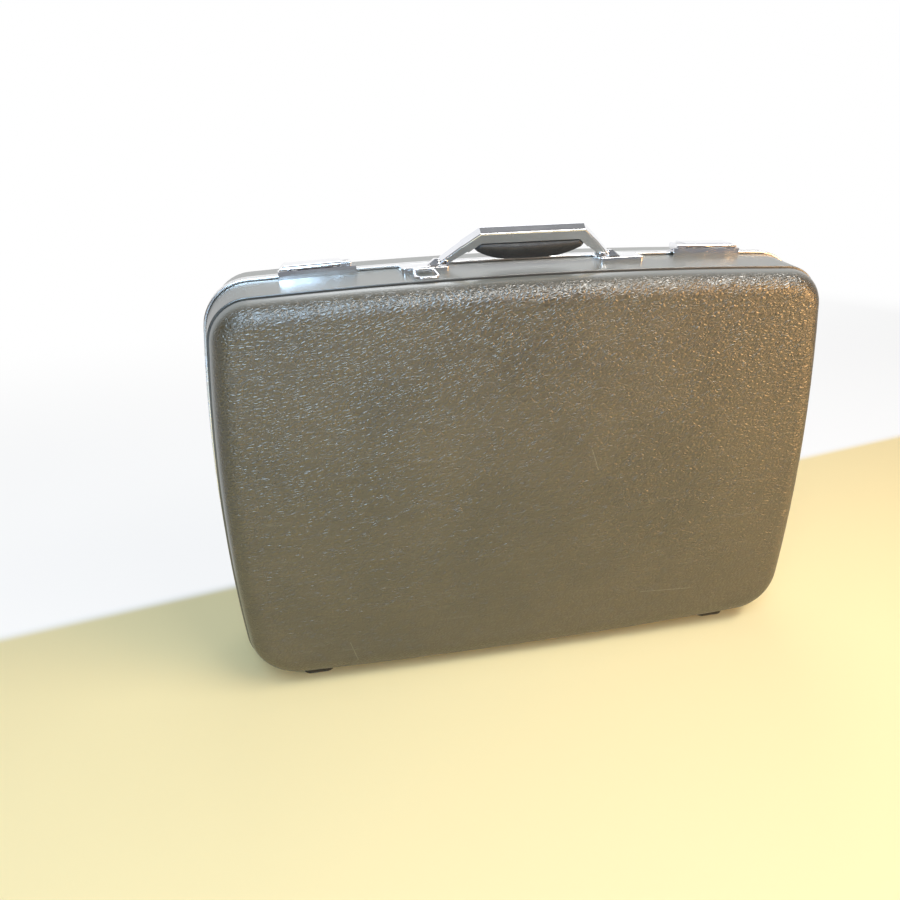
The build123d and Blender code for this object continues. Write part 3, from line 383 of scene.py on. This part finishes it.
def chromeMaterial(finish):
    material, tree, shader, place = startMaterial("polishedPlating")
    tone = useGroup(tree, agedTone, Vector=place, Patches=60.0)["Tone"]
    hairs = useGroup(tree, fineScratches, Vector=place, Density=260.0, Amount=0.8)["Mask"]
    pits = noise(tree, place, 700.0, 2.0).outputs["Fac"]  # small, where the plating has aged
    worn = mathNode(tree, "MAXIMUM", scaled(tree, hairs, 0.35), rampValue(tree, pits, 0.70, 0.76))
    tree.links.new(mixColour(tree, worn, finish["bright"], finish["worn"]), shader.inputs["Base Color"])
    rough = rampValue(tree, tone, 0.0, 1.0, *finish["roughness"])
    rough = mathNode(tree, "ADD", rough, scaled(tree, worn, 0.25))
    tree.links.new(rough, shader.inputs["Roughness"])
    shader.inputs["Metallic"].default_value = 1
    waves = noise(tree, place, 45.0, 1.0).outputs["Fac"]
    height = mathNode(tree, "SUBTRACT", waves, scaled(tree, worn, 0.05))
    bump(tree, shader, height, finish["waveDepth"])
    return material


# Rolled aluminium and drawn steel: fine lines along the strip or pin.
drawnFinishes = {
    "rolledAluminium": {
        "bright": (0.86, 0.86, 0.86),
        "dull": (0.62, 0.61, 0.58),
        "roughness": (0.18, 0.34),
    },
    "drawnSteel": {
        "bright": (0.58, 0.58, 0.58),
        "dull": (0.38, 0.37, 0.35),
        "roughness": (0.24, 0.40),
    },
}
drawnLines = {"scale": (6, 1400, 60), "depth": 0.00008}


def drawnMaterial(name, finish):
    material, tree, shader, place = startMaterial(name)
    drawn = vectorMath(tree, "MULTIPLY", place, drawnLines["scale"]).outputs[0]
    lines = noise(tree, drawn, 1.0, 3.0, 0.65).outputs["Fac"]
    tone = useGroup(tree, agedTone, Vector=place, Patches=30.0)["Tone"]
    hairs = useGroup(tree, fineScratches, Vector=place, Density=150.0, Amount=0.6)["Mask"]
    dull = mathNode(tree, "MAXIMUM", scaled(tree, tone, 0.35), scaled(tree, hairs, 0.5))
    tree.links.new(mixColour(tree, dull, finish["bright"], finish["dull"]), shader.inputs["Base Color"])
    rough = rampValue(tree, lines, 0.3, 0.7, *finish["roughness"])
    tree.links.new(rough, shader.inputs["Roughness"])
    shader.inputs["Metallic"].default_value = 1
    bump(tree, shader, lines, drawnLines["depth"])
    return material


# Grained, slightly shiny covering, used on the grip.
gripFinish = {
    "light": (0.040, 0.040, 0.040),
    "dark": (0.020, 0.020, 0.021),
    "roughness": (0.46, 0.36),  # where the tone is dark, where it is light
    "cells": 620.0,
    "grainDepth": 0.00016,
}


def gripMaterial(finish):
    material, tree, shader, place = startMaterial("gripVinyl")
    grain = useGroup(tree, leatherGrain, Vector=place, Cells=finish["cells"], Stretch=0.85)
    tone = useGroup(tree, agedTone, Vector=place, Patches=40.0)["Tone"]
    colour = mixColour(tree, tone, finish["dark"], finish["light"])
    # Painted shade darkens the creases of the grain.
    colour = mixColour(tree, scaled(tree, grain["Crease"], 0.5), colour, finish["dark"])
    tree.links.new(colour, shader.inputs["Base Color"])
    tree.links.new(rampValue(tree, tone, 0.0, 1.0, *finish["roughness"]), shader.inputs["Roughness"])
    bump(tree, shader, grain["Height"], finish["grainDepth"])
    return material


# Moulded feet: fine spark texture, paler where they rub the floor.
footFinish = {
    "colour": (0.035, 0.034, 0.030),
    "rubbed": (0.16, 0.15, 0.13),
    "rubHeight": 0.004,
    "roughness": (0.48, 0.62),
    "textureDepth": 0.0002,
}


def footMaterial(finish):
    material, tree, shader, place = startMaterial("footPlastic")
    split = addNode(tree, "ShaderNodeSeparateXYZ", {0: place}).outputs
    low = rampValue(tree, split["Z"], 0.0, finish["rubHeight"], 1.0, 0.0)
    scuffs = noise(tree, place, 420.0, 3.0).outputs["Fac"]
    rubbed = mathNode(tree, "MULTIPLY", low, rampValue(tree, scuffs, 0.4, 0.6))
    tree.links.new(mixColour(tree, rubbed, finish["colour"], finish["rubbed"]), shader.inputs["Base Color"])
    tree.links.new(rampValue(tree, scuffs, 0.3, 0.7, *finish["roughness"]), shader.inputs["Roughness"])
    bump(tree, shader, noise(tree, place, 1800.0, 2.0).outputs["Fac"], finish["textureDepth"])
    return material


# Woven cloths: the lining over board, the pocket and its elastic, and the webbing.
clothFinishes = {
    "liningCloth": {
        "light": (0.46, 0.42, 0.33),
        "dark": (0.34, 0.31, 0.24),
        "threads": 1100.0,
        "depth": 0.00018,
    },
    "pocketCloth": {
        "light": (0.42, 0.38, 0.30),
        "dark": (0.28, 0.25, 0.20),
        "threads": 1500.0,
        "depth": 0.00012,
    },
    "strapWebbing": {
        "light": (0.30, 0.27, 0.20),
        "dark": (0.17, 0.15, 0.11),
        "threads": 620.0,
        "depth": 0.00030,
    },
}
clothSurface = {
    "sheen": 0.25,
    "sheenRoughness": 0.4,
    "roughness": (0.92, 0.78),  # between the threads, on them
}


def clothMaterial(name, finish):
    material, tree, shader, place = startMaterial(name)
    weave = useGroup(tree, clothWeave, Vector=place, Threads=finish["threads"])
    tone = useGroup(tree, agedTone, Vector=place, Patches=12.0)["Tone"]
    mixed = mathNode(tree, "ADD", scaled(tree, weave["Thread"], 0.5), scaled(tree, tone, 0.5))
    tree.links.new(mixColour(tree, mixed, finish["dark"], finish["light"]), shader.inputs["Base Color"])
    rough = rampValue(tree, weave["Height"], 0.0, 1.0, *clothSurface["roughness"])
    tree.links.new(rough, shader.inputs["Roughness"])
    shader.inputs["Sheen Weight"].default_value = clothSurface["sheen"]
    shader.inputs["Sheen Roughness"].default_value = clothSurface["sheenRoughness"]
    bump(tree, shader, weave["Height"], finish["depth"])
    return material


# The record's material slots and the finish of each.
finishes = {
    "shell_plastic": shellMaterial(shellFinish),
    "frame_metal": drawnMaterial("rolledAluminium", drawnFinishes["rolledAluminium"]),
    "plated_hardware": chromeMaterial(chromeFinish),
    "pin_steel": drawnMaterial("drawnSteel", drawnFinishes["drawnSteel"]),
    "grip_vinyl": gripMaterial(gripFinish),
    "foot_plastic": footMaterial(footFinish),
    "lining_cloth": clothMaterial("liningCloth", clothFinishes["liningCloth"]),
    "strap_webbing": clothMaterial("strapWebbing", clothFinishes["strapWebbing"]),
}
pocketCloth = clothMaterial("pocketCloth", clothFinishes["pocketCloth"])
print("materials built:", len(finishes) + 1)

for node in nodes.values():
    for slot in node.material_slots:
        slot.material = finishes[slot.material.name.split(".")[0]]
print("CAD nodes dressed")


def squareOff(value, power):  # draws a circle's sine or cosine towards a rounded square
    return math.copysign(abs(value) ** power, value)


# Joins rings of points into one closed skin.
def skinRings(mesh, rings):
    count = len(rings[0])
    for first, second in zip(rings, rings[1:]):
        for spoke in range(count):
            after = (spoke + 1) % count
            mesh.faces.new((first[spoke], first[after], second[after], second[spoke]))
    mesh.faces.new(rings[0])
    mesh.faces.new(list(reversed(rings[-1])))


def finishMesh(name, mesh, material, body, slotName, *replaced):
    bmesh.ops.recalc_face_normals(mesh, faces=mesh.faces)
    data = bpy.data.meshes.new(name)
    mesh.to_mesh(data)
    mesh.free()
    piece = bpy.data.objects.new(name, data)
    scene.collection.objects.link(piece)
    data.materials.append(material)
    for polygon in data.polygons:
        polygon.use_smooth = True
    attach(piece, body)
    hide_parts(*replaced)
    return piece


# The padded grip hangs under the handle's channel. Sizes are metres in the handle's own plane,
# up from the pivots.
grip = {
    "pivot": (0, -0.029, 0.453995),
    "lean": math.radians(40),
    "top": 0.02685,
    "bottom": 0.0052,
    "flatHalf": 0.020,
    "endRadius": 0.0515,
    "armLine": 0.0776,  # the arms' inner edges lie where x + height is this
    "halfThickness": (0.0100, 0.0066),  # at the middle, at the ends
    "roundness": 2.7,
    "flatTop": 0.55,
    "endGap": 0.0006,
    "rings": 72,
    "spokes": 40,
}


def gripBottom(setup, along):
    past = max(0.0, abs(along) - setup["flatHalf"])
    return setup["bottom"] + setup["endRadius"] - math.sqrt(setup["endRadius"] ** 2 - past**2)


def gripEnd(setup):
    low, high = setup["flatHalf"], setup["flatHalf"] + setup["endRadius"] * 0.9
    for _ in range(40):  # where the rising underside meets the arm
        middle = (low + high) / 2
        if gripBottom(setup, middle) < setup["armLine"] - middle - setup["endGap"]:
            low = middle
        else:
            high = middle
    return low


def makeGrip(setup):
    origin = Vector(setup["pivot"])
    upright = Vector((0, -math.sin(setup["lean"]), math.cos(setup["lean"])))
    outward = Vector((0, -math.cos(setup["lean"]), -math.sin(setup["lean"])))
    mesh = bmesh.new()
    end = gripEnd(setup)
    rings = []
    for ring in range(setup["rings"] + 1):
        share = -math.cos(math.pi * ring / setup["rings"])  # rings crowd towards the ends
        along = end * share
        bottom = gripBottom(setup, along)
        top = min(setup["top"], setup["armLine"] - abs(along))
        middle, half = (top + bottom) / 2, (top - bottom) / 2
        centre, tip = setup["halfThickness"]
        thick = (centre + (tip - centre) * share**2) * min(1.0, math.sqrt(max(0.0, 1 - share**8)) + 0.35)
        loop = []
        for spoke in range(setup["spokes"]):
            angle = 2 * math.pi * spoke / setup["spokes"]
            across = squareOff(math.cos(angle), 2 / setup["roundness"]) * thick
            height = squareOff(math.sin(angle), 2 / setup["roundness"]) * half
            if height > 0:  # the top lies flat against the channel
                height = half * min(1.0, (height / half) ** setup["flatTop"])
            spot = origin + Vector((along, 0, 0)) + upright * (middle + height) + outward * across
            loop.append(mesh.verts.new(spot))
        rings.append(loop)
    skinRings(mesh, rings)
    piece = finishMesh("paddedGrip", mesh, finishes["grip_vinyl"], "handle", "grip_vinyl", "handle_grip")


makeGrip(grip)
print("grip made")


# Packing straps: webbing with rolled edges that runs through the buckle and turns onto the lining.
strap = {
    "thickness": 0.0014,
    "cornerRadius": 0.006,
    "cornerSteps": 6,
    "sag": 0.0012,
    "inset": 0.0008,  # from the solid's box, at its open side, bottom and top
    "backInset": 0.0004,
    "sideInset": 0.0003,
    "acrossSteps": 10,
    "step": 0.004,
}


def strapPath(low, high, setup):
    near, far = high.y - setup["inset"], low.y + setup["backInset"]
    bottom, top = low.z + setup["inset"], high.z - setup["inset"]
    radius = setup["cornerRadius"]
    quarter = [math.pi / 2 * index / setup["cornerSteps"] for index in range(setup["cornerSteps"] + 1)]
    points = []
    run = near - radius - far
    for index in range(int(run / setup["step"]) + 1):
        points.append((far + index * setup["step"], bottom))
    for angle in quarter:
        y = near - radius + radius * math.sin(angle)
        points.append((y, bottom + radius - radius * math.cos(angle)))
    length = top - bottom - 2 * radius
    count = int(length / (2 * setup["step"]))
    for index in range(1, count):
        climb = index / count
        slack = setup["sag"] * math.sin(2 * math.pi * climb) ** 2 * (1 if climb < 0.5 else 0.7)
        points.append((near - slack, bottom + radius + climb * length))
    for angle in quarter:
        y = near - radius + radius * math.cos(angle)
        points.append((y, top - radius + radius * math.sin(angle)))
    for index in range(int(run / setup["step"]), -1, -1):
        points.append((far + index * setup["step"], top))
    return points


def makeStrap(name, node, setup):
    low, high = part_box(node)
    points = strapPath(low, high, setup)
    mesh = bmesh.new()
    steps, inset = setup["acrossSteps"], setup["sideInset"]
    outline = []  # how far across, and on which side
    for index in range(steps + 1):
        outline.append((index / steps, 1.0))
    for index in range(steps, -1, -1):
        outline.append((index / steps, -1.0))
    rings = []
    for index, (y, z) in enumerate(points):
        before, after = points[max(index - 1, 0)], points[min(index + 1, len(points) - 1)]
        along = Vector((0, after[0] - before[0], after[1] - before[1])).normalized()
        normal = Vector((0, -along.z, along.y))
        loop = []
        for across, side in outline:
            edge = 1 - abs(2 * across - 1)
            rolled = 1.0 if edge > 0.15 else 0.55 + 3 * edge  # thinner at the selvedge
            offset = side * setup["thickness"] / 2 * rolled
            x = low.x + inset + across * (high.x - low.x - 2 * inset)
            loop.append(mesh.verts.new(Vector((x, y, z)) + normal * offset))
        rings.append(loop)
    skinRings(mesh, rings)
    finishMesh(name, mesh, finishes["strap_webbing"], "front_half", "strap_webbing", node)


makeStrap("webbingStrapLeft", "strap_left", strap)
makeStrap("webbingStrapRight", "strap_right", strap)
print("straps made")


# Pocket cloth, gathered at its elastic top and sewn flat along its other edges.
pocket = {
    "columns": 260,
    "rows": 40,
    "gathers": 46,
    "fold": 0.0042,  # depth of the gathers at the top
    "puff": 0.004,  # how far the cloth bellies out
    "seamShare": 0.06,
    "backInset": 0.0006,
    "seed": 5,
}


def makePocket(setup):
    low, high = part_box("rear_pocket")
    chance = random.Random(setup["seed"])
    phases = [chance.uniform(-0.6, 0.6) for _ in range(setup["gathers"] + 2)]
    mesh = bmesh.new()
    grid = []
    area = 0.0
    for row in range(setup["rows"] + 1):
        rise = row / setup["rows"]
        line = []
        for column in range(setup["columns"] + 1):
            across = column / setup["columns"]
            gather = across * setup["gathers"]
            index = int(gather)
            phase = phases[index] + (phases[index + 1] - phases[index]) * (gather - index)
            edge = min(1.0, min(across, 1 - across) / setup["seamShare"])
            edge *= min(1.0, rise / setup["seamShare"])
            depth = setup["fold"] * rise**1.3 * (0.5 + 0.5 * math.sin(2 * math.pi * gather + phase * 3))
            rounding = math.sin(math.pi * min(1.0, rise * 1.1))
            belly = setup["puff"] * rounding * math.sin(math.pi * across) ** 0.5
            x = low.x + across * (high.x - low.x)
            y = high.y - setup["backInset"] - edge * (depth + belly)
            line.append(mesh.verts.new((x, y, low.z + rise * (high.z - low.z))))
        grid.append(line)
    for lower, upper in zip(grid, grid[1:]):
        for column in range(setup["columns"]):
            face = mesh.faces.new((lower[column], lower[column + 1], upper[column + 1], upper[column]))
            area += face.calc_area()
    piece = finishMesh("pocketCloth", mesh, pocketCloth, "rear_half", "lining_cloth", "rear_pocket")


# Elastic hem: a soft band with close ruches.
elastic = {"columns": 300, "ruches": 95, "depth": 0.0009, "squareness": 0.7, "spokes": 12}


def makeElastic(setup):
    low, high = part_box("rear_pocket_band")
    mesh = bmesh.new()
    rings = []
    middle, half = (low + high) / 2, (high - low) / 2
    for column in range(setup["columns"] + 1):
        across = column / setup["columns"]
        x = low.x + across * (high.x - low.x)
        ruche = setup["depth"] * (0.5 + 0.5 * math.sin(2 * math.pi * across * setup["ruches"]))
        tip = min(1.0, min(across, 1 - across) * 60 + 0.3)  # drawn in at both ends
        loop = []
        for spoke in range(setup["spokes"]):
            angle = 2 * math.pi * spoke / setup["spokes"]
            y = squareOff(math.cos(angle), setup["squareness"]) * (half.y - ruche) * tip
            z = squareOff(math.sin(angle), setup["squareness"]) * (half.z - ruche / 2) * tip
            loop.append(mesh.verts.new((x, middle.y + y, middle.z + z)))
        rings.append(loop)
    skinRings(mesh, rings)
    finishMesh("pocketElastic", mesh, pocketCloth, "rear_half", "lining_cloth", "rear_pocket_band")


makePocket(pocket)
makeElastic(elastic)
print("pocket made")


# One plain floor. It is cream round the case, up to a line behind it, and white beyond that line.
# Out of the picture in front it pales to a cool grey.
floor = {
    "cream": (0.88, 0.73, 0.40),
    "pale": (0.70, 0.74, 0.80),
    "roughness": 0.9,
    "patches": [  # centre, then the distances from it at which the cream starts to go and is gone
        ((0.0, -0.1), (0.85, 1.15)),
        ((0.8, -0.2), (0.9, 1.4)),
    ],
    "white": (0.90, 0.90, 0.90),
    "line": (0.2, 0.226),  # slope and start of the line y = slope * x + start
    "edge": 0.03,
    "glow": (0.8, 1.0),  # how far the white part reads as white, near the case and far away
    "glowFrom": (0.3, 1.6),  # distances beyond the line for those two
    "fade": (1.1, 2.4),  # the floor turns white to the camera between these distances
    "reach": 14.0,
}


def floorMaterial(setup):
    material, tree, shader, place = startMaterial("paleFloor")
    split = addNode(tree, "ShaderNodeSeparateXYZ", {0: place}).outputs
    slope, start = setup["line"]
    beyond = mathNode(tree, "SUBTRACT", split["Y"], mathNode(tree, "MULTIPLY", split["X"], slope))
    beyond = mathNode(tree, "SUBTRACT", beyond, start)
    far = rampValue(tree, beyond, -setup["edge"] / 2, setup["edge"] / 2)
    tone = noise(tree, place, 3.0, 2.0).outputs["Fac"]
    cream = mixColour(tree, tone, setup["cream"], tuple(value * 1.02 for value in setup["cream"]))
    near = None
    for (x, y), (inner, outer) in setup["patches"]:
        away = vectorMath(tree, "DISTANCE", place, (x, y, 0)).outputs["Value"]
        within = rampValue(tree, away, inner, outer, 1.0, 0.0)
        near = within if near is None else mathNode(tree, "MAXIMUM", near, within)
    front = mixColour(tree, near, setup["pale"], cream)
    tree.links.new(mixColour(tree, far, front, setup["white"]), shader.inputs["Base Color"])
    shader.inputs["Roughness"].default_value = setup["roughness"]
    path = addNode(tree, "ShaderNodeLightPath").outputs
    seen = mathNode(tree, "MAXIMUM", path["Is Camera Ray"], path["Is Glossy Ray"])
    seen = mathNode(tree, "MAXIMUM", seen, path["Is Transmission Ray"])
    glow = rampValue(tree, beyond, *setup["glowFrom"], *setup["glow"])
    white = mathNode(tree, "MULTIPLY", mathNode(tree, "MULTIPLY", seen, glow), far)
    distance = vectorMath(tree, "LENGTH", place).outputs["Value"]
    faded = mathNode(tree, "MULTIPLY", path["Is Camera Ray"], rampValue(tree, distance, *setup["fade"]))
    white = mathNode(tree, "MAXIMUM", white, faded)
    light = addNode(tree, "ShaderNodeEmission", {"Color": (1, 1, 1, 1), "Strength": 1.0}).outputs[0]
    mixed = addNode(tree, "ShaderNodeMixShader", {0: white, 1: shader.outputs[0], 2: light}).outputs[0]
    tree.links.new(mixed, tree.nodes["Material Output"].inputs["Surface"])
    return material


def makeFloor(setup):
    mesh = bmesh.new()
    reach = setup["reach"]
    corners = ((-reach, -reach, 0), (reach, -reach, 0), (reach, reach, 0), (-reach, reach, 0))
    mesh.faces.new([mesh.verts.new(corner) for corner in corners])
    data = bpy.data.meshes.new("paleFloor")
    mesh.to_mesh(data)
    mesh.free()
    data.materials.append(floorMaterial(setup))
    piece = bpy.data.objects.new("paleFloor", data)
    scene.collection.objects.link(piece)


makeFloor(floor)

# Soft daylight from the front left, a wide light over the front, a high one behind and a low
# warm one from the right.
lamps = {
    "coolKey": {
        "place": (-0.50, -1.45, 1.42),
        "aim": (-0.25, 0, 0.35),
        "size": (0.6, 1.4),
        "power": 33,
        "colour": (0.54, 0.77, 1.0),
    },
    "topLight": {
        "place": (0.70, -0.80, 1.50),
        "aim": (0.10, 0, 0.3),
        "size": (1.3, 0.27),
        "power": 18,
        "colour": (1.0, 0.97, 0.90),
    },
    "backLight": {
        "place": (0.30, 1.60, 2.00),
        "aim": (0, 0, 0.25),
        "size": (1.4, 0.7),
        "power": 10,
        "colour": (0.94, 0.97, 1.0),
    },
    "warmFill": {
        "place": (1.75, -1.35, 0.60),
        "aim": (0.20, -0.05, 0.12),
        "size": (0.9, 0.8),
        "power": 27,
        "colour": (1.0, 0.57, 0.24),
    },
}


def placeLamps(setup):
    for name, lamp in setup.items():
        data = bpy.data.lights.new(name, "AREA")
        data.shape = "RECTANGLE"
        data.size, data.size_y = lamp["size"]
        data.energy = lamp["power"]
        data.color = lamp["colour"]
        piece = bpy.data.objects.new(name, data)
        aim = Vector(lamp["aim"]) - Vector(lamp["place"])
        turn = aim.to_track_quat("-Z", "Y").to_matrix().to_4x4()
        piece.matrix_world = Matrix.Translation(lamp["place"]) @ turn
        scene.collection.objects.link(piece)


placeLamps(lamps)

# The pale surroundings. They are white to the camera, and at full strength in mirrored rays that
# go to the rear.
skyFinish = {
    "above": (0.95, 0.97, 1.0),
    "front": (0.50, 0.36, 0.24),
    "behind": (1.0, 1.0, 1.0),
    "strength": 0.27,
}


def makeSky(finish):
    world = bpy.data.worlds.new("paleSurround")
    world.use_nodes = True
    tree = world.node_tree
    background = tree.nodes["Background"]
    direction = addNode(tree, "ShaderNodeTexCoord").outputs["Generated"]
    split = addNode(tree, "ShaderNodeSeparateXYZ", {0: direction}).outputs
    level = mixColour(tree, rampValue(tree, split["Y"], -0.1, 0.5), finish["front"], finish["behind"])
    colour = mixColour(tree, rampValue(tree, split["Z"], 0.05, 0.6), level, finish["above"])
    path = addNode(tree, "ShaderNodeLightPath").outputs
    mirrored = mathNode(tree, "MULTIPLY", path["Is Glossy Ray"], rampValue(tree, split["Y"], 0.0, 0.4))
    seen = mathNode(tree, "MAXIMUM", path["Is Camera Ray"], mirrored)
    tree.links.new(mixColour(tree, path["Is Camera Ray"], colour, (1, 1, 1)), background.inputs["Color"])
    strengths = {"Value": seen, "To Min": finish["strength"], "To Max": 1.0}
    strength = addNode(tree, "ShaderNodeMapRange", strengths)
    tree.links.new(strength.outputs[0], background.inputs["Strength"])
    scene.world = world


makeSky(skyFinish)
scene.view_settings.view_transform = "Standard"
print("floor, lamps and surround set")
